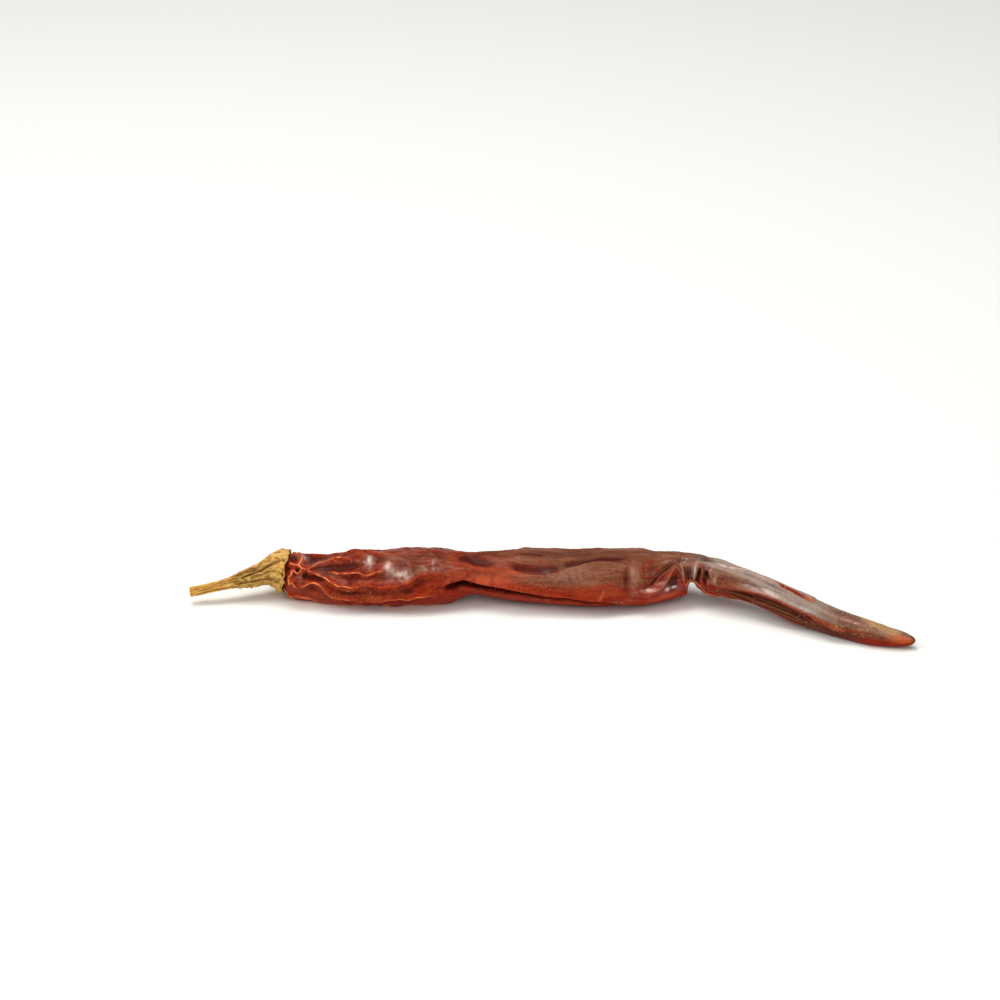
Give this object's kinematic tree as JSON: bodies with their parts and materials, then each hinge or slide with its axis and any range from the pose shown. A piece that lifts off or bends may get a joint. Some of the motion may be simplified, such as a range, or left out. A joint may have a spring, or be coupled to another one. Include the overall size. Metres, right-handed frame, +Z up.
{
  "type": "dried chilli pepper",
  "caption": "Long dried red chilli lying on its side, with a wrinkled, folded pod, a sharply kinked tapering tail, and a woody stalk and calyx.",
  "frame": {"origin": "the middle of the bounding box's length and width, at the level of the surface that the pepper lies on", "axes": "+X runs along the pod from the stalk towards the tail, +Z is up, and the tail bends towards -Y"},
  "size_m": [0.1428, 0.0267, 0.0104],
  "materials": {
    "skin": "dried, satin, deep red to brown, orange on the crests of its folds",
    "stalk": "dry, matt, fibrous, tan to olive"
  },
  "bodies": {
    "root": {"pod": "skin", "stalk_and_calyx": "stalk"}
  },
  "joints": []
}
